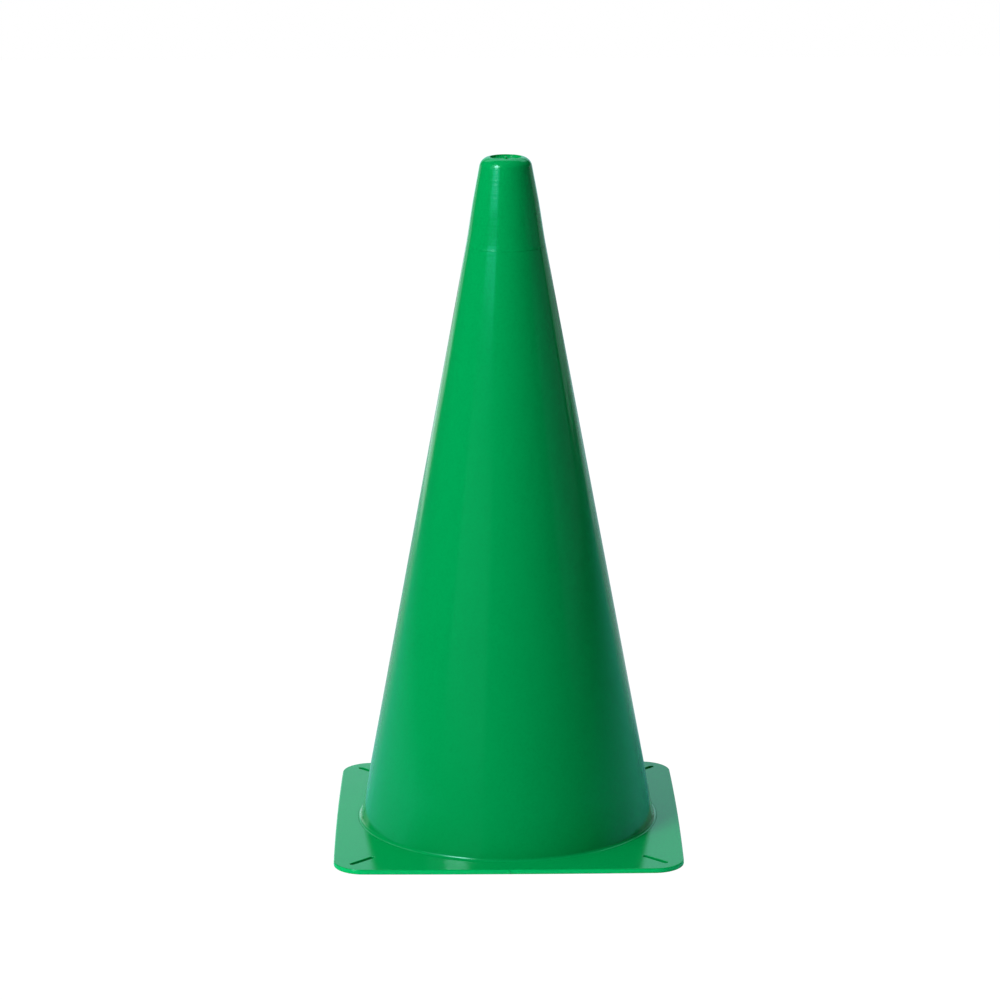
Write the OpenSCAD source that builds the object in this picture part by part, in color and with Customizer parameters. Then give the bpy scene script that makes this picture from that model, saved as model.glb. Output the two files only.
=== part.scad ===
// Traffic cone: a square base plate, a hollow tapered body and a tip cap, each a moulding of its own.
// Millimetres. The origin is the centre of the underside, +Z points up and +Y to the back.
// The body's foot lip snaps into a rebate under the plate; the cap's spigot snaps into the body.

/* [Body] */
// Height from the ground to the rim of the tip
height = 450.5; // [430:0.5:480]
// Radius that the taper reaches at the ground
foot_r = 99.3; // [90:0.1:103]
// Angle between the wall and the axis, in degrees
taper_angle = 10.57; // [9.8:0.01:10.8]
// Thickness of the body's wall, measured across it
wall = 2.3; // [1.6:0.1:3]
// Radius of the concave fillet between the wall and the plate
foot_fillet = 2.4; // [1.5:0.1:3]

/* [Base plate] */
// Side of the square plate
plate_side = 230; // [226:1:260]
// Thickness of the plate
plate_t = 3.3; // [3:0.1:5]
// Radius of the plate's corners, seen from above
corner_r = 20; // [10:1:30]
// Radius of the plate's upper and lower edges
edge_r = 0.8; // [0.3:0.1:1.4]
// Radius of the small moulding mark on the front edge
mark_r = 1.1; // [0.8:0.1:1.4]
// How far that mark stands out
mark_out = 0.5; // [0.2:0.1:0.8]

/* [Fixing slots] */
// Length of each corner slot, end to end
slot_len = 21; // [12:1:24]
// Width of each slot
slot_w = 3.2; // [2.5:0.1:4]
// Distance from the axis to the middle of each slot
slot_radius = 135; // [132:1:138]
// Chamfer round the slot's upper edge
slot_chamfer = 0.4; // [0.2:0.1:0.6]

/* [Foot joint] */
// How far the lip reaches out under the plate
lip_reach = 2.5; // [2:0.5:6]
// Thickness of the lip
lip_t = 1.7; // [1.5:0.1:2]
// Clearance round the lip and round the foot
joint_gap = 0.05; // [0.03:0.01:0.1]
// Height of the snap beads, in the foot and in the tip
bead = 0.4; // [0.2:0.1:0.5]

/* [Tip cap] */
// Height of the joint between the body and the cap
joint_z = 392.5; // [370:0.5:400]
// How far the cap's outside stands proud of the body's taper
proud = 0.85; // [0:0.05:1.2]
// Height over which the cap swells to that
swell_h = 32; // [15:1:40]
// Rounding radius of the tip's shoulder
shoulder_r = 7; // [4:0.5:8]
// Radius of the shallow dish in the top
dish_r = 10.2; // [8:0.1:10.2]
// Depth of the dish
dish_depth = 1.4; // [0.5:0.1:2]
// Radius of the gate stub in the middle of the dish
gate_r = 1.1; // [0.8:0.1:1.5]
// Height of that stub above the dish's floor
gate_h = 1.3; // [0.3:0.1:1.4]
// Outer radius of the spigot that plugs into the body
spigot_r = 22.6; // [20:0.1:23]
// Length of the spigot
spigot_l = 12; // [8:1:16]

/* [Stacking ribs] */
// Height that a stacked cone adds
stack_pitch = 14; // [12:1:20]
// Thickness of the ribs
rib_t = 2; // [1.5:0.1:3]

/* [Hidden] */

$fn = 96;
plate_green = "#009a52";
body_green = "#008a46";
cap_green = "#009650";
eps = 0.01;
taper = tan(taper_angle);
// Wall and shoulder radius, measured level instead of across the slope
level_wall = wall / cos(taper_angle);
level_shoulder = shoulder_r / cos(taper_angle);
// Foot: the fillet's centre, the plate's hole just inside its edge, and the rebate under the plate
fillet_z = plate_t + foot_fillet;
fillet_x = outside(fillet_z) + foot_fillet / cos(taper_angle);
fillet_overlap = 0.1;
hole_r = fillet_x - fillet_overlap;
collar_r = hole_r - joint_gap;
lip_r = collar_r + lip_reach;
rebate_r = lip_r + joint_gap;
seam_chamfer = 0.3;
inner_lead_in = 1.2;
// Tip: the shoulder's centre lies where its arc meets both the taper and the rim
shoulder_z = height - shoulder_r;
shoulder_x = foot_r + proud - shoulder_z * taper - level_shoulder;
roof_z = height - dish_depth - wall;
socket_r = spigot_r + joint_gap;
socket_z = joint_z - spigot_l;
bead_z = joint_z - spigot_l / 2;
rib_z = height - stack_pitch;
swell_steps = 10;
// How far a cutting shape runs past what it cuts
past = 1;

// Radius of the body's outside at height z
function outside(z) = foot_r - z * taper;
// Radius of its inside
function inside(z) = outside(z) - level_wall;
// Rises smoothly from 0 to 1 as t does
function ease(t) = t * t * (3 - 2 * t);
// Radius of the cap's outside, which swells gently above the joint
function cap_outside(z) = outside(z) + proud * ease(min(1, (z - joint_z) / swell_h));

// Half section of a bead: a low triangle that stands out from radius r at height z
module bead_section(r, z, size) {
    polygon([[r - size, z - 2 * size], [r, z - 2 * size], [r + size, z], [r, z + 2 * size],
             [r - size, z + 2 * size]]);
}

// Section of a plate edge, from the corner's centre out to a rounded edge
module edge_section() {
    square([corner_r - edge_r, plate_t]);
    translate([0, edge_r]) square([corner_r, plate_t - 2 * edge_r]);
    for (z = [edge_r, plate_t - edge_r]) translate([corner_r - edge_r, z]) circle(edge_r);
}

// Square slab with round corners and rounded edges
module rounded_slab() {
    flat = plate_side - 2 * corner_r;
    translate([-flat / 2, -flat / 2, 0]) cube([flat, flat, plate_t]);
    for (side = [0 : 3]) rotate(90 * side) {
        translate([flat / 2, flat / 2, 0]) rotate_extrude(angle = 90) edge_section();
        translate([flat / 2, flat / 2, 0]) rotate([90, 0, 0]) linear_extrude(flat) edge_section();
    }
}

// Slot along X through the plate, with a chamfered upper edge
module slot() {
    half = (slot_len - slot_w) / 2;
    top_w = slot_w + 2 * slot_chamfer;
    for (x = [-half, half]) translate([x, 0, 0]) {
        translate([0, 0, -past]) cylinder(h = plate_t + 2 * past, d = slot_w);
        translate([0, 0, plate_t - slot_chamfer])
            cylinder(h = slot_chamfer + eps, d1 = slot_w, d2 = top_w + 2 * eps);
    }
    translate([-half, -slot_w / 2, -past]) cube([2 * half, slot_w, plate_t + 2 * past]);
    translate([-half, 0, plate_t - slot_chamfer]) rotate([90, 0, 90]) linear_extrude(2 * half)
        polygon([[-slot_w / 2, 0], [slot_w / 2, 0], [top_w / 2 + eps, slot_chamfer + eps],
                 [-top_w / 2 - eps, slot_chamfer + eps]]);
}

// Square plate with the round hole for the body, the rebate for its lip and a slot at each corner
module base_plate() {
    color(plate_green) {
        difference() {
            rounded_slab();
            translate([0, 0, -past]) cylinder(h = plate_t + 2 * past, r = hole_r);
            translate([0, 0, plate_t - seam_chamfer])
                cylinder(h = seam_chamfer + eps, r1 = hole_r, r2 = hole_r + seam_chamfer + eps);
            translate([0, 0, -past]) cylinder(h = lip_t + past, r = rebate_r);
            rotate_extrude() bead_section(rebate_r, lip_t / 2, bead);
            for (corner = [0 : 3]) rotate(45 + 90 * corner) translate([slot_radius, 0, 0]) slot();
        }
        intersection() {
            translate([0, -plate_side / 2 - mark_out, plate_t / 2]) rotate([-90, 0, 0])
                cylinder(h = mark_out + edge_r, r = mark_r);
            translate([-mark_r, -plate_side / 2 - mark_out, 0])
                cube([2 * mark_r, mark_out + edge_r, plate_t]);
        }
    }
}

// Concave corner between the wall and the plate: a block with a circle taken out of it, where the
// circle touches the plate's top and the wall
module fillet_section() {
    touch_z = fillet_z - foot_fillet * sin(taper_angle);
    difference() {
        polygon([[outside(plate_t) - wall / 2, plate_t - eps], [collar_r, plate_t - eps],
                 [collar_r, touch_z], [outside(touch_z) - wall / 2, touch_z]]);
        translate([fillet_x, fillet_z]) circle(foot_fillet);
    }
}

// Hollow tapered shell with a lip round its foot and a cylindrical socket at its top
module cone_body() {
    color(body_green) rotate_extrude() difference() {
        union() {
            polygon([[0, 0], [outside(0), 0], [outside(joint_z), joint_z], [0, joint_z]]);
            translate([inside(0), 0]) square([lip_r - inside(0), lip_t]);
            translate([inside(0), 0]) square([collar_r - inside(0), plate_t]);
            bead_section(lip_r, lip_t / 2, bead - joint_gap);
            fillet_section();
        }
        // The hollow: a lead-in at the foot, the taper, a sloping ledge, then the socket
        ledge_z = socket_z - (inside(socket_z) - socket_r);
        polygon([[0, -past], [inside(0) + inner_lead_in + past, -past],
                 [inside(0) + inner_lead_in, 0], [inside(inner_lead_in), inner_lead_in],
                 [inside(ledge_z), ledge_z], [socket_r, socket_z], [socket_r, joint_z + past],
                 [0, joint_z + past]]);
        bead_section(socket_r, bead_z, bead);
    }
}

// Outside of the cap, as a half section that is still solid
module cap_section() {
    touch_z = shoulder_z + shoulder_r * sin(taper_angle);
    polygon(concat(
        [[0, joint_z]],
        [for (i = [0 : swell_steps]) let (z = joint_z + swell_h * i / swell_steps)
            [cap_outside(z), z]],
        [[cap_outside(touch_z), touch_z], [shoulder_x, height - eps], [0, height - eps]]));
    intersection() {
        translate([shoulder_x, shoulder_z]) circle(shoulder_r);
        translate([0, joint_z]) square([foot_r, height - joint_z]);
    }
    translate([0, shoulder_z]) square([shoulder_x, shoulder_r]);
}

// Cap with a shallow dish in its top, a spigot below and crossed ribs that keep stacked cones apart
module tip_cap() {
    color(cap_green) {
        rotate_extrude() {
            difference() {
                cap_section();
                polygon([[0, joint_z - past], [spigot_r - wall, joint_z - past],
                         [spigot_r - wall, joint_z], [cap_outside(roof_z) - level_wall, roof_z],
                         [0, roof_z]]);
                translate([0, height - dish_depth]) square([dish_r, dish_depth + past]);
            }
            translate([0, height - dish_depth - eps]) square([gate_r, gate_h + eps]);
            translate([spigot_r - wall, socket_z])
                square([wall, spigot_l + eps]);
            bead_section(spigot_r, bead_z, bead - joint_gap);
        }
        intersection() {
            for (turn = [0, 90]) rotate(turn)
                translate([-outside(rib_z), -rib_t / 2, rib_z])
                    cube([2 * outside(rib_z), rib_t, roof_z - rib_z + eps]);
            cylinder(h = height - wall, r = outside(roof_z) - wall / 2);
        }
    }
}

base_plate();
cone_body();
tip_cap();
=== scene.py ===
"""Looks of a green plastic traffic cone: lathed mouldings, a slotted base plate, plain studio light.

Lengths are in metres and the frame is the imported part's: the origin is the centre of the underside,
+Z points up and -Y faces the camera.
"""
import math

import bmesh
import bpy
from mathutils import Matrix, Vector


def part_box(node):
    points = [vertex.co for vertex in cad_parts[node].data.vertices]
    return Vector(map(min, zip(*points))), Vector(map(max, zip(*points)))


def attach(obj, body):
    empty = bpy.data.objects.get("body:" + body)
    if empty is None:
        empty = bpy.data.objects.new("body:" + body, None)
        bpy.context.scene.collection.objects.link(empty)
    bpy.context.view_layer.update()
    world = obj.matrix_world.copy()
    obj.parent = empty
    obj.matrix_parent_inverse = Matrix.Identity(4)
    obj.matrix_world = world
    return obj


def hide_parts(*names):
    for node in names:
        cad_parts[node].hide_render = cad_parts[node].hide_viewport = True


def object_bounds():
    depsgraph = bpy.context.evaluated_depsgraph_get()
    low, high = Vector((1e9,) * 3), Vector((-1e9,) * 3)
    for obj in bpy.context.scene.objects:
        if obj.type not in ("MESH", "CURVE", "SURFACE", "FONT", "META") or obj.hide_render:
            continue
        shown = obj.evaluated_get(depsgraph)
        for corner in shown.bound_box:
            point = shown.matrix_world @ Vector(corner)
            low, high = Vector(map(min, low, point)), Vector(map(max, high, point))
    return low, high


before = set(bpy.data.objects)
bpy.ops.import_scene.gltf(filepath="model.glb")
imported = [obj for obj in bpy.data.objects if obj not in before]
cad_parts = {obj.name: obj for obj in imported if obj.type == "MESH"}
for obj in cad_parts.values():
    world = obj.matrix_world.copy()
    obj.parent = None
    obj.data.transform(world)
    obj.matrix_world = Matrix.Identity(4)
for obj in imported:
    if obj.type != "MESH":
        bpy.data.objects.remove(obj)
cad_low, cad_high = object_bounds()

MM = 0.001
TURN = 2 * math.pi

# Places taken from the frame
HEIGHT = cad_high.z
PLATE_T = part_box("base_plate")[1].z
PLATE_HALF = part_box("base_plate")[1].x
MARK_FRONT = -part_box("base_plate")[0].y
JOINT_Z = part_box("cone_body")[1].z
SPIGOT_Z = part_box("tip_cap")[0].z

# Dimensions that the mouldings are drawn from, as on the part
FOOT_R = 99.3 * MM
TAPER = math.radians(10.57)
WALL = 2.3 * MM
FOOT_FILLET = 2.4 * MM
FOOT_OVERRUN = 0.5 * MM
LIP_REACH = 2.5 * MM
LIP_T = 1.7 * MM
JOINT_GAP = 0.05 * MM
INNER_LEAD_IN = 1.2 * MM
CORNER_R = 20 * MM
BOW = 0.8 * MM
EDGE_R = 0.8 * MM
MARK_R = 1.1 * MM
SLOT_LENGTH = 21 * MM
SLOT_WIDTH = 3.2 * MM
SLOT_RADIUS = 135 * MM
SLOT_CHAMFER = 0.4 * MM
PROUD = 0.85 * MM
SWELL_H = 32 * MM
SHOULDER_R = 7 * MM
DISH_R = 10.2 * MM
DISH_DEPTH = 1.4 * MM
GATE_R = 1.1 * MM
GATE_H = 1.3 * MM
SPIGOT_R = 22.6 * MM
STACK_PITCH = 14 * MM
RIB_T = 2 * MM

# The joint line near the tip: a fine chamfer on both mouldings, and a slight flare of the cap that
# dies out over RING_H
RING_BEVEL = 0.1 * MM
RING_FLARE = 0.08 * MM
RING_H = 1.0 * MM
SMALL_ROUND = 0.3 * MM
# How deep the mark sits in the plate, and how much taller than their space the ribs are
MARK_ROOT = 2 * MM
RIB_OVERLAP = 0.2 * MM
# Steps round a lathed moulding, the plate's hole, a rounded plate edge, a slot's end and its chamfer
SEGMENTS = 288
HOLE_STEPS = 192
EDGE_STEPS = 5
SLOT_END_STEPS = 12
CHAMFER_STEPS = 4

LEVEL_WALL = WALL / math.cos(TAPER)
HOLE_R = FOOT_R - PLATE_T * math.tan(TAPER) + FOOT_FILLET - FOOT_OVERRUN
COLLAR_R = HOLE_R - JOINT_GAP
LIP_R = COLLAR_R + LIP_REACH
REBATE_R = LIP_R + JOINT_GAP
SOCKET_R = SPIGOT_R + JOINT_GAP
SHOULDER_Z = HEIGHT - SHOULDER_R
SHOULDER_X = FOOT_R + PROUD - SHOULDER_Z * math.tan(TAPER) - SHOULDER_R / math.cos(TAPER)
ROOF_Z = HEIGHT - DISH_DEPTH - WALL


def outside(z):
    """Radius of the body's outside at height z."""
    return FOOT_R - z * math.tan(TAPER)


def inside(z):
    return outside(z) - LEVEL_WALL


def ease(t):
    return t * t * (3 - 2 * t)


def cap_outside(z):
    """Radius of the cap's outside, which swells gently above the joint."""
    return outside(z) + PROUD * ease(min(1, max(0, (z - JOINT_Z) / SWELL_H)))


def arc(centre, radius, start, end, steps):
    """Points on an arc in the (r, z) plane, angles in degrees from +r."""
    angles = [math.radians(start + (end - start) * i / steps) for i in range(steps + 1)]
    return [(centre[0] + radius * math.cos(a), centre[1] + radius * math.sin(a)) for a in angles]


def smooth(mesh, sharp_degrees):
    """Smooth shading that keeps edges above an angle sharp."""
    mesh.shade_smooth()
    mesh.set_sharp_from_angle(angle=math.radians(sharp_degrees))


def new_object(name, mesh):
    piece = bpy.data.objects.new(name, mesh)
    bpy.context.scene.collection.objects.link(piece)
    return piece


def lathe(name, outline):
    """Turns a closed outline, or one whose ends lie on the axis, about Z."""
    bm = bmesh.new()
    closed = outline[0][0] > 0
    rings = []
    for r, z in outline:
        if r == 0:
            rings.append([bm.verts.new((0, 0, z))])
            continue
        ring = []
        for i in range(SEGMENTS):
            a = TURN * i / SEGMENTS
            ring.append(bm.verts.new((r * math.cos(a), r * math.sin(a), z)))
        rings.append(ring)
    pairs = list(zip(rings, rings[1:]))
    if closed:
        pairs.append((rings[-1], rings[0]))
    for low, high in pairs:
        for i in range(SEGMENTS):
            j = (i + 1) % SEGMENTS
            corners = []
            for v in (low[i % len(low)], low[j % len(low)], high[j % len(high)], high[i % len(high)]):
                if v not in corners:
                    corners.append(v)
            bm.faces.new(corners)
    bmesh.ops.recalc_face_normals(bm, faces=bm.faces)
    mesh = bpy.data.meshes.new(name)
    bm.to_mesh(mesh)
    bm.free()
    smooth(mesh, 32)
    return new_object(name, mesh)


def body_outline():
    """Half section of the body, from its lip up the outside and down the inside."""
    centre_z = PLATE_T + FOOT_FILLET
    centre = (outside(centre_z) + FOOT_FILLET / math.cos(TAPER), centre_z)
    ledge_z = SPIGOT_Z - (inside(SPIGOT_Z) - SOCKET_R)
    points = [(LIP_R, 0), (LIP_R, LIP_T), (COLLAR_R, LIP_T)]
    # The fillet ends a degree short of level, just above the plate
    points += arc(centre, FOOT_FILLET, 269, 180 + math.degrees(TAPER), 10)
    # Levels up the straight wall keep the shading of its two ends from spreading along it
    levels = 12
    low = points[-1][1]
    for i in range(1, levels):
        z = low + (JOINT_Z - RING_BEVEL - low) * i / levels
        points.append((outside(z), z))
    points += [(outside(JOINT_Z - RING_BEVEL), JOINT_Z - RING_BEVEL)]
    points += [(outside(JOINT_Z) - RING_BEVEL, JOINT_Z)]
    points += [(SOCKET_R, JOINT_Z), (SOCKET_R, SPIGOT_Z)]
    points += [(inside(ledge_z), ledge_z), (inside(INNER_LEAD_IN), INNER_LEAD_IN)]
    points += [(inside(0) + INNER_LEAD_IN, 0)]
    return points


def cap_outline():
    """Half section of the cap, from under its roof round the spigot and up to the gate stub.

    The arcs at the rim stop just short of level, so that it stays under the part's top.
    """
    points = [(0, ROOF_Z), (cap_outside(ROOF_Z) - LEVEL_WALL, ROOF_Z)]
    points += [(SPIGOT_R - WALL, JOINT_Z), (SPIGOT_R - WALL, SPIGOT_Z), (SPIGOT_R, SPIGOT_Z)]
    points += [(SPIGOT_R, JOINT_Z), (outside(JOINT_Z) - RING_BEVEL, JOINT_Z)]
    points += [(cap_outside(JOINT_Z + RING_BEVEL) + RING_FLARE, JOINT_Z + RING_BEVEL)]
    steps = 12
    for i in range(steps + 1):
        z = JOINT_Z + RING_H + (SWELL_H - RING_H) * i / steps
        points.append((cap_outside(z), z))
    points += arc((SHOULDER_X, SHOULDER_Z), SHOULDER_R, math.degrees(TAPER), 88, 16)
    floor_z = HEIGHT - DISH_DEPTH
    points += arc((DISH_R + SMALL_ROUND, HEIGHT - SMALL_ROUND), SMALL_ROUND, 80, 180, 6)
    points += arc((DISH_R - SMALL_ROUND, floor_z + SMALL_ROUND), SMALL_ROUND, 0, -90, 4)
    points += arc((GATE_R + SMALL_ROUND, floor_z + SMALL_ROUND), SMALL_ROUND, 270, 180, 4)
    points += arc((GATE_R - SMALL_ROUND, floor_z + GATE_H - SMALL_ROUND), SMALL_ROUND, 0, 90, 4)
    points += [(0, floor_z + GATE_H)]
    return points


def square_loop(inset):
    """The plate's outline moved in by inset, with the same count of points each time.

    Each side is a shallow arc that bows out by BOW, and the corner arcs are tangent to it.
    """
    c = PLATE_HALF - BOW - CORNER_R
    side_r = ((CORNER_R + BOW) ** 2 + c ** 2 - CORNER_R ** 2) / (2 * BOW)
    side_angle = math.asin(c / (side_r - CORNER_R))
    side_steps = 16
    corner_steps = 24
    quarter_points = []
    for i in range(side_steps):
        a = side_angle * (2 * i / side_steps - 1)
        r = side_r - inset
        quarter_points.append((PLATE_HALF - side_r + r * math.cos(a), r * math.sin(a)))
    for i in range(corner_steps):
        a = side_angle + (math.pi / 2 - 2 * side_angle) * i / corner_steps
        r = CORNER_R - inset
        quarter_points.append((c + r * math.cos(a), c + r * math.sin(a)))
    loop = []
    for quarter in range(4):
        turn = Matrix.Rotation(math.pi / 2 * quarter, 2)
        loop += [tuple(turn @ Vector(point)) for point in quarter_points]
    return loop


def round_loop(radius):
    angles = [TURN * i / HOLE_STEPS for i in range(HOLE_STEPS)]
    return [(radius * math.cos(a), radius * math.sin(a)) for a in angles]


def slot_loop(corner, grow):
    """One corner slot's outline, grown by grow all round."""
    turn = math.radians(45 + 90 * corner)
    half = (SLOT_LENGTH - SLOT_WIDTH) / 2
    r = SLOT_WIDTH / 2 + grow
    loop = []
    for end in (1, -1):
        for i in range(SLOT_END_STEPS + 1):
            a = math.radians(180 * i / SLOT_END_STEPS - 90 * end)
            along = SLOT_RADIUS + end * half + r * math.cos(a)
            across = r * math.sin(a)
            x = along * math.cos(turn) - across * math.sin(turn)
            y = along * math.sin(turn) + across * math.cos(turn)
            loop.append((x, y))
    return loop


def band(bm, loops):
    """Quads between successive loops of (x, y, z). Returns the first and the last ring of vertices."""
    rings = [[bm.verts.new(p) for p in loop] for loop in loops]
    for low, high in zip(rings, rings[1:]):
        for i in range(len(low)):
            j = (i + 1) % len(low)
            bm.faces.new((low[i], low[j], high[j], high[i]))
    return rings[0], rings[-1]


def raised(loop, z):
    """A flat loop lifted to height z."""
    return [(x, y, z) for x, y in loop]


def rounded_edge():
    """(inset, height) pairs from the underside to the top, round both edges of the plate."""
    pairs = []
    for i in range(EDGE_STEPS + 1):
        a = math.radians(90 * i / EDGE_STEPS)
        pairs.append((EDGE_R - EDGE_R * math.sin(a), EDGE_R - EDGE_R * math.cos(a)))
    upper = [(inset, PLATE_T - z) for inset, z in reversed(pairs)]
    return pairs + upper


def slot_edge():
    """(grow, height) pairs up a slot's wall and round its upper edge."""
    start = PLATE_T - SLOT_CHAMFER
    pairs = [(0, 0), (0, start)]
    for i in range(1, CHAMFER_STEPS + 1):
        a = math.radians(90 * i / CHAMFER_STEPS)
        pairs.append((SLOT_CHAMFER - SLOT_CHAMFER * math.cos(a), start + SLOT_CHAMFER * math.sin(a)))
    return pairs


def ring_edges(bm, ring):
    edges = []
    for i, v in enumerate(ring):
        edges.append(bm.edges.get((v, ring[(i + 1) % len(ring)])))
    return edges


def plate_mesh():
    """The plate: walls round its edge, its hole and its slots, then a filled top and underside."""
    bm = bmesh.new()
    hole = [(REBATE_R, 0), (REBATE_R, LIP_T), (HOLE_R, LIP_T), (HOLE_R, PLATE_T - SMALL_ROUND)]
    hole += [(HOLE_R + SMALL_ROUND, PLATE_T)]
    walls = [[raised(square_loop(inset), z) for inset, z in rounded_edge()]]
    walls.append([raised(round_loop(r), z) for r, z in hole])
    for corner in range(4):
        walls.append([raised(slot_loop(corner, grow), z) for grow, z in slot_edge()])
    bottoms = []
    tops = []
    for loops in walls:
        low, high = band(bm, loops)
        bottoms.append(low)
        tops.append(high)
    for rings in (tops, bottoms):
        edges = []
        for ring in rings:
            edges += ring_edges(bm, ring)
        bmesh.ops.triangle_fill(bm, use_beauty=True, use_dissolve=False, edges=edges)
    bmesh.ops.recalc_face_normals(bm, faces=bm.faces)
    mesh = bpy.data.meshes.new("plate_moulding")
    bm.to_mesh(mesh)
    bm.free()
    smooth(mesh, 40)
    return mesh


def add_plate():
    piece = new_object("plate_moulding", plate_mesh())
    keep_flat = piece.modifiers.new("flat_faces", "WEIGHTED_NORMAL")
    keep_flat.keep_sharp = True
    return piece


def add_mark():
    """The small moulding mark on the plate's front edge."""
    bm = bmesh.new()
    depth = MARK_FRONT - PLATE_HALF + MARK_ROOT
    bmesh.ops.create_cone(bm, cap_ends=True, segments=48, radius1=MARK_R, radius2=MARK_R, depth=depth)
    bmesh.ops.transform(bm, matrix=Matrix.Rotation(math.pi / 2, 4, "X"), verts=bm.verts)
    place = Vector((0, -MARK_FRONT + depth / 2, PLATE_T / 2))
    bmesh.ops.translate(bm, vec=place, verts=bm.verts)
    mesh = bpy.data.meshes.new("moulding_mark")
    bm.to_mesh(mesh)
    bm.free()
    smooth(mesh, 32)
    piece = new_object("moulding_mark", mesh)
    bevel = piece.modifiers.new("soft_edge", "BEVEL")
    bevel.width = 0.2 * MM
    bevel.segments = 3
    return piece


def add_ribs():
    """Crossed ribs under the cap's roof, which keep stacked cones apart."""
    bm = bmesh.new()
    low = HEIGHT - STACK_PITCH
    reach = outside(ROOF_Z) - WALL / 2
    for turn in (0, math.pi / 2):
        made = bmesh.ops.create_cube(bm, size=1)["verts"]
        bmesh.ops.scale(bm, vec=(2 * reach, RIB_T, ROOF_Z - low + RIB_OVERLAP), verts=made)
        bmesh.ops.translate(bm, vec=(0, 0, (ROOF_Z + low) / 2), verts=made)
        bmesh.ops.rotate(bm, matrix=Matrix.Rotation(turn, 3, "Z"), verts=made)
    mesh = bpy.data.meshes.new("stacking_ribs")
    bm.to_mesh(mesh)
    bm.free()
    piece = new_object("stacking_ribs", mesh)
    bevel = piece.modifiers.new("soft_edge", "BEVEL")
    bevel.width = 0.25 * MM
    bevel.segments = 2
    return piece


# ---------------------------------------------------------------- materials

# The pigment, its slightly deeper clouds, and painted light on the plate's thin outer edge: a lighter
# green that stands in for the light that edge catches
GREEN = (0.0, 0.40, 0.095, 1)
DEEP_GREEN = (0.0, 0.37, 0.088, 1)
PAINTED_EDGE_LIGHT = (0.0, 0.68, 0.16, 1)
# Reflections in the plastic are tinted too, so that they hold little red
REFLECTION_TINT = (0.45, 1.0, 0.95, 1)
# How far in from the plate's sides the painted edge light starts and is full. The slots lie farther in.
EDGE_LIGHT_START = 9.5 * MM
EDGE_LIGHT_FULL = 8 * MM
# The upright part of a normal that counts as the flat top, and as the edge that gets the painted light
FLAT = 0.95
STEEP = 0.3
# The turning rings fade in between these heights, and this much of them is left below
RINGS_LOW = 360 * MM
RINGS_HIGH = 430 * MM
RINGS_LEAST = 0.12
# Relief of the surface: the bump's unit, then orange peel and sink marks in that unit
BUMP_UNIT = 0.02 * MM
PEEL = 0.12
SINK = 1.5

PAPER = (0.85, 0.85, 0.85, 1)
COOL_PAPER = (0.25, 0.85, 0.85, 1)
# The paper turns from cool to white as a place gets this far behind the diagonals through the cone
COOL_FROM = -0.1
WHITE_FROM = 0.2
# The paper's own light to the camera, and its share there; the rest is the paper with its shadow
PAPER_GLOW = 1.06
GLOW_SHARE = 0.97


def node(tree, kind, inputs=None, **settings):
    """Adds a shader node, sets its attributes, then links or sets its inputs."""
    made = tree.nodes.new(kind)
    for key, value in settings.items():
        setattr(made, key, value)
    for key, value in (inputs or {}).items():
        if isinstance(value, bpy.types.NodeSocket):
            tree.links.new(value, made.inputs[key])
        else:
            made.inputs[key].default_value = value
    return made


def cloudy_green(tree, place):
    """The pigment's colour, mixed by broad clouds and fine specks."""
    cloud = node(tree, "ShaderNodeTexNoise",
                 {"Vector": place, "Scale": 14.0, "Detail": 4.0, "Roughness": 0.55})
    speck = node(tree, "ShaderNodeTexNoise", {"Vector": place, "Scale": 600.0, "Detail": 2.0})
    shade = node(tree, "ShaderNodeMath",
                 {0: cloud.outputs["Fac"], 1: speck.outputs["Fac"], 2: speck.outputs["Fac"]},
                 operation="MULTIPLY_ADD")
    spread = node(tree, "ShaderNodeMapRange",
                  {"Value": shade.outputs[0], "From Min": 0.65, "From Max": 1.2})
    tint = node(tree, "ShaderNodeMix", {"Factor": spread.outputs["Result"], 6: GREEN, 7: DEEP_GREEN},
                data_type="RGBA")
    return tint.outputs[2]


def with_painted_edge_light(tree, place, colour):
    """The colour with painted light on the plate's outer edge only: its steep outer sides turn lighter
    green.
    """
    across = node(tree, "ShaderNodeVectorMath", {0: place}, operation="ABSOLUTE")
    parts = node(tree, "ShaderNodeSeparateXYZ", {"Vector": across.outputs["Vector"]})
    reach = node(tree, "ShaderNodeMath", {0: parts.outputs["X"], 1: parts.outputs["Y"]},
                 operation="MAXIMUM")
    outer = node(tree, "ShaderNodeMapRange",
                 {"Value": reach.outputs[0], "From Min": PLATE_HALF - EDGE_LIGHT_START,
                  "From Max": PLATE_HALF - EDGE_LIGHT_FULL})
    normal = node(tree, "ShaderNodeTexCoord").outputs["Normal"]
    facing = node(tree, "ShaderNodeSeparateXYZ", {"Vector": normal})
    upright = node(tree, "ShaderNodeMath", {0: facing.outputs["Z"]}, operation="ABSOLUTE")
    side = node(tree, "ShaderNodeMapRange",
                {"Value": upright.outputs[0], "From Min": FLAT, "From Max": STEEP,
                 "To Max": outer.outputs["Result"]})
    # Painted light: the lighter green on the edge stands in for light that it catches
    lit = node(tree, "ShaderNodeMix", {"Factor": side.outputs["Result"], 6: colour, 7: PAINTED_EDGE_LIGHT},
               data_type="RGBA")
    return lit.outputs[2]


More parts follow.
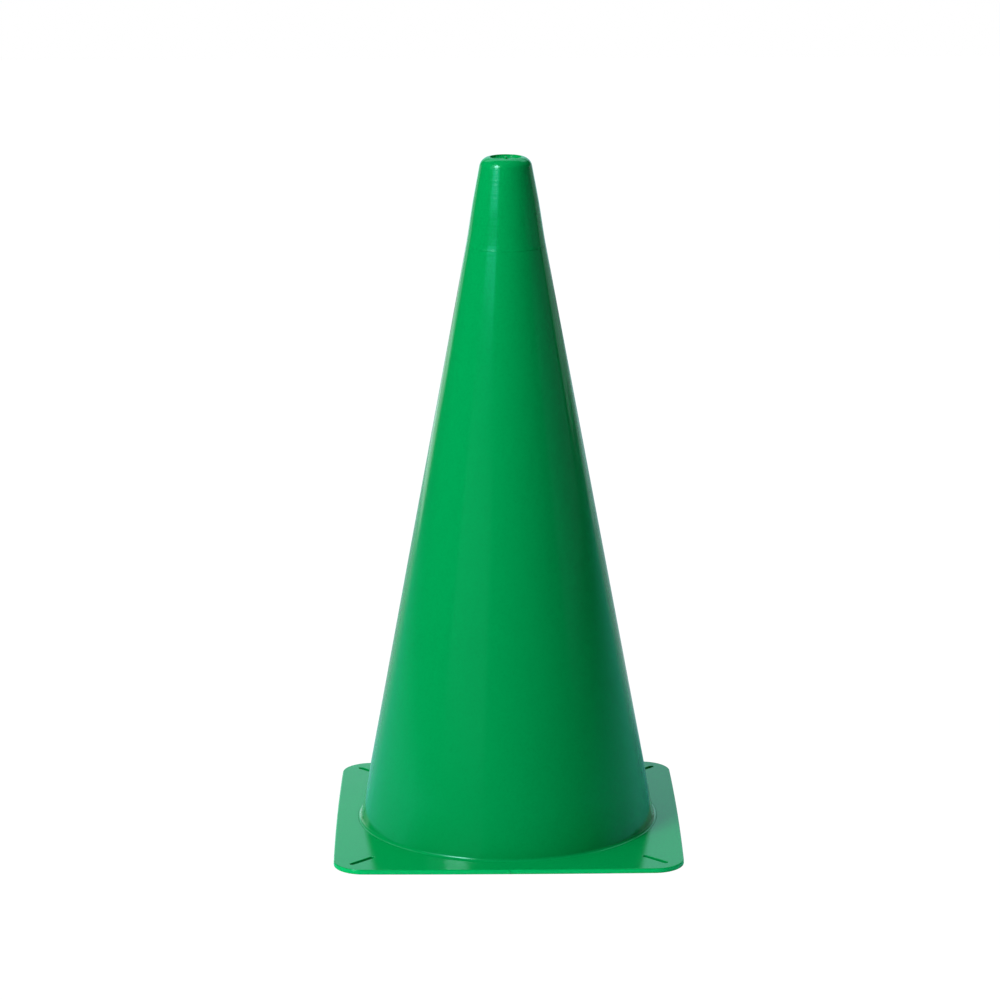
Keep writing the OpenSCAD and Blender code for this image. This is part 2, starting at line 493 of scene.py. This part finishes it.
def relief(tree, place, rings):
    """Normals of the moulded surface: turning rings, orange peel and sink marks."""
    peel = node(tree, "ShaderNodeTexNoise", {"Vector": place, "Scale": 420.0, "Detail": 1.0})
    sink = node(tree, "ShaderNodeTexNoise", {"Vector": place, "Scale": 22.0, "Detail": 2.0})
    height = node(tree, "ShaderNodeSeparateXYZ", {"Vector": place}).outputs["Z"]
    ring = node(tree, "ShaderNodeTexNoise", {"W": height, "Scale": 600.0, "Detail": 2.0},
                noise_dimensions="1D")
    fade = node(tree, "ShaderNodeMapRange",
                {"Value": height, "From Min": RINGS_LOW, "From Max": RINGS_HIGH, "To Min": RINGS_LEAST})
    faded = node(tree, "ShaderNodeMath", {0: ring.outputs["Fac"], 1: fade.outputs["Result"]},
                 operation="MULTIPLY")
    turned = node(tree, "ShaderNodeMath", {0: faded.outputs[0], 1: rings}, operation="MULTIPLY")
    peeled = node(tree, "ShaderNodeMath", {0: peel.outputs["Fac"], 1: PEEL, 2: turned.outputs[0]},
                  operation="MULTIPLY_ADD")
    sunk = node(tree, "ShaderNodeMath", {0: sink.outputs["Fac"], 1: SINK, 2: peeled.outputs[0]},
                operation="MULTIPLY_ADD")
    bump = node(tree, "ShaderNodeBump",
                {"Height": sunk.outputs[0], "Strength": 1.0, "Distance": BUMP_UNIT})
    return bump.outputs["Normal"]


def plastic(name, rings, gloss, paint_edge_light=False):
    """Moulded green polyethylene.

    rings is the height of the turning rings in bump units, gloss is the range of roughness, and the last
    flag adds painted light on the plate's outer edge.
    """
    material = bpy.data.materials.new(name)
    material.use_nodes = True
    tree = material.node_tree
    shader = tree.nodes["Principled BSDF"]
    place = node(tree, "ShaderNodeTexCoord").outputs["Object"]
    colour = cloudy_green(tree, place)
    # Painted light on the plate's outer edge, for the plate's material only
    if paint_edge_light:
        colour = with_painted_edge_light(tree, place, colour)
    scuff = node(tree, "ShaderNodeTexNoise",
                 {"Vector": place, "Scale": 60.0, "Detail": 6.0, "Roughness": 0.7})
    rough = node(tree, "ShaderNodeMapRange",
                 {"Value": scuff.outputs["Fac"], "From Min": 0.35, "From Max": 0.75,
                  "To Min": gloss[0], "To Max": gloss[1]})
    tree.links.new(colour, shader.inputs["Base Color"])
    tree.links.new(relief(tree, place, rings), shader.inputs["Normal"])
    tree.links.new(rough.outputs["Result"], shader.inputs["Roughness"])
    shader.inputs["IOR"].default_value = 1.5
    shader.inputs["Specular Tint"].default_value = REFLECTION_TINT
    return material


def white_stage():
    """Matt paper that is white to the camera, with a trace of shadow, and cooler at its sides."""
    material = bpy.data.materials.new("white_table")
    material.use_nodes = True
    tree = material.node_tree
    shader = tree.nodes["Principled BSDF"]
    place = node(tree, "ShaderNodeTexCoord").outputs["Object"]
    split = node(tree, "ShaderNodeSeparateXYZ", {"Vector": place})
    aside = node(tree, "ShaderNodeMath", {0: split.outputs["X"]}, operation="ABSOLUTE")
    behind = node(tree, "ShaderNodeMath", {0: split.outputs["Y"], 1: aside.outputs[0]},
                  operation="SUBTRACT")
    back = node(tree, "ShaderNodeMapRange",
                {"Value": behind.outputs[0], "From Min": COOL_FROM, "From Max": WHITE_FROM})
    paper = node(tree, "ShaderNodeMix",
                 {"Factor": back.outputs["Result"], 6: COOL_PAPER, 7: PAPER}, data_type="RGBA")
    tree.links.new(paper.outputs[2], shader.inputs["Base Color"])
    shader.inputs["Roughness"].default_value = 0.9
    shader.inputs["Specular IOR Level"].default_value = 0.0
    glow = node(tree, "ShaderNodeEmission", {"Color": (1, 1, 1, 1), "Strength": PAPER_GLOW})
    seen = node(tree, "ShaderNodeLightPath")
    share = node(tree, "ShaderNodeMath", {0: seen.outputs["Is Camera Ray"], 1: GLOW_SHARE},
                 operation="MULTIPLY")
    mixed = node(tree, "ShaderNodeMixShader",
                 {0: share.outputs[0], 1: shader.outputs["BSDF"], 2: glow.outputs["Emission"]})
    tree.links.new(mixed.outputs["Shader"], tree.nodes["Material Output"].inputs["Surface"])
    return material


# ---------------------------------------------------------------- light and camera

AIM = Vector((0, 0, 0.2))
# Strength of the light that comes from all round
ROOM_LIGHT = 0.01

# Colours of the panels, with less and less red
WHITE = (1, 1, 1)
PALE = (0.75, 1, 1)
COOL = (0.5, 1, 1)
TEAL = (0.2, 0.9, 1)

# Soft panels round the cone. Azimuth 0 is the camera's side and positive is its right; angles are in
# degrees, the distance in metres, and the last number is the panel's brightness.
PANELS = (
    ("key", WHITE, -46, 43, 1.6, 21, 20, 18.6),
    ("key_skirt", TEAL, -42, 21.5, 1.5, 28, 12, 2.5),
    ("key_rim", WHITE, -41, 26.5, 1.6, 13, 10, 3.2),
    ("key_left", COOL, -62, 40, 1.8, 24, 40, 1.4),
    ("overhead", COOL, 30, 88, 1.8, 170, 40, 1.15),
    ("left_top", COOL, -90, 50, 2.0, 60, 25, 0.3),
    ("back_top", COOL, 180, 50, 2.0, 90, 25, 1.0),
    ("back_wall", COOL, 180, 14, 2.0, 50, 34, 0.84),
    ("back_left", PALE, -165, 4, 2.0, 22, 12, 0.52),
    ("far_left", PALE, -143, 5, 2.0, 18, 14, 0.66),
    ("low_left", WHITE, -150, -3, 1.3, 26, 9, 0.72),
    ("back_right", PALE, 140, 6, 2.0, 40, 14, 0.41),
    ("low_right", PALE, 150, -3, 1.3, 26, 9, 0.21),
    ("right_side", COOL, 88, 6, 2.0, 50, 14, 0.18),
    ("front_low", COOL, -40, 4, 2.2, 40, 10, 0.25),
)
# Panels that only fill the shadows and aren't seen in reflections
FILLS = ("overhead", "left_top")


def towards(azimuth, elevation):
    """Unit vector to a place round the cone."""
    a = math.radians(azimuth)
    e = math.radians(elevation)
    return Vector((math.sin(a) * math.cos(e), -math.cos(a) * math.cos(e), math.sin(e)))


def add_panel(name, colour, azimuth, elevation, distance, wide, high, radiance):
    """A soft panel that faces the cone and covers wide by high degrees as the cone sees it."""
    data = bpy.data.lights.new(name, "AREA")
    data.shape = "RECTANGLE"
    data.color = colour
    data.size = 2 * distance * math.tan(math.radians(wide) / 2) * math.cos(math.radians(elevation))
    data.size_y = 2 * distance * math.tan(math.radians(high) / 2)
    data.energy = radiance * math.pi * data.size * data.size_y
    panel = bpy.data.objects.new(name, data)
    bpy.context.scene.collection.objects.link(panel)
    back = towards(azimuth, elevation)
    panel.location = AIM + back * distance
    panel.rotation_mode = "QUATERNION"
    panel.rotation_quaternion = back.to_track_quat("Z", "Y")
    panel.visible_camera = False
    panel.visible_glossy = name not in FILLS


def add_world():
    """White to the camera, and a dim room in reflections."""
    world = bpy.data.worlds.new("white_studio")
    bpy.context.scene.world = world
    world.use_nodes = True
    tree = world.node_tree
    room = tree.nodes["Background"]
    room.inputs["Color"].default_value = (1, 1, 1, 1)
    room.inputs["Strength"].default_value = ROOM_LIGHT
    seen = node(tree, "ShaderNodeLightPath")
    white = node(tree, "ShaderNodeBackground", {"Color": (1, 1, 1, 1), "Strength": 1.0})
    mixed = node(tree, "ShaderNodeMixShader",
                 {0: seen.outputs["Is Camera Ray"], 1: room.outputs[0], 2: white.outputs[0]})
    tree.links.new(mixed.outputs["Shader"], tree.nodes["World Output"].inputs["Surface"])


def add_lights():
    for panel in PANELS:
        add_panel(*panel)


def add_floor():
    bm = bmesh.new()
    bmesh.ops.create_grid(bm, x_segments=1, y_segments=1, size=4)
    mesh = bpy.data.meshes.new("table")
    bm.to_mesh(mesh)
    bm.free()
    mesh.materials.append(white_stage())
    table = new_object("table", mesh)


def add_camera():
    """A long lens, looking down at the cone by about fourteen degrees. Pan and roll are in radians."""
    place = (-0.0209, -2.4883, 0.8337)
    pan = 0.00664
    pitch = math.radians(13.825)
    roll = -0.00317
    forward = Vector((math.sin(pan) * math.cos(pitch), math.cos(pan) * math.cos(pitch), -math.sin(pitch)))
    level = Vector((math.cos(pan), -math.sin(pan), 0))
    upright = level.cross(forward)
    right = math.cos(roll) * level + math.sin(roll) * upright
    up = -math.sin(roll) * level + math.cos(roll) * upright
    turn = Matrix((right, up, -forward)).transposed()
    data = bpy.data.cameras.new("camera")
    data.lens = 139.3
    data.sensor_width = 36
    data.clip_start = 0.1
    data.clip_end = 50
    camera = bpy.data.objects.new("camera", data)
    bpy.context.scene.collection.objects.link(camera)
    camera.matrix_world = Matrix.Translation(place) @ turn.to_4x4()
    bpy.context.scene.camera = camera


def finish_piece(piece, material, slot, *nodes):
    """Gives a piece its material and body, and hides the CAD nodes that it stands for."""
    piece.data.materials.append(material)
    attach(piece, "root")
    if nodes:
        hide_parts(*nodes)


def main():
    scene = bpy.context.scene
    scene.view_settings.view_transform = "Standard"
    add_camera()
    add_world()
    add_lights()
    add_floor()
    # The plate's material carries painted light on its outer edge
    plate_plastic = plastic("plate_polyethylene", rings=0.0, gloss=(0.11, 0.17), paint_edge_light=True)
    body_plastic = plastic("body_polyethylene", rings=3.0, gloss=(0.12, 0.17))
    cap_plastic = plastic("cap_polyethylene", rings=3.0, gloss=(0.13, 0.18))
    finish_piece(add_plate(), plate_plastic, "plate_polyethylene", "base_plate")
    finish_piece(add_mark(), plate_plastic, "plate_polyethylene")
    finish_piece(lathe("body_moulding", body_outline()), body_plastic, "body_polyethylene", "cone_body")
    finish_piece(lathe("cap_moulding", cap_outline()), cap_plastic, "cap_polyethylene", "tip_cap")
    finish_piece(add_ribs(), cap_plastic, "cap_polyethylene")


main()
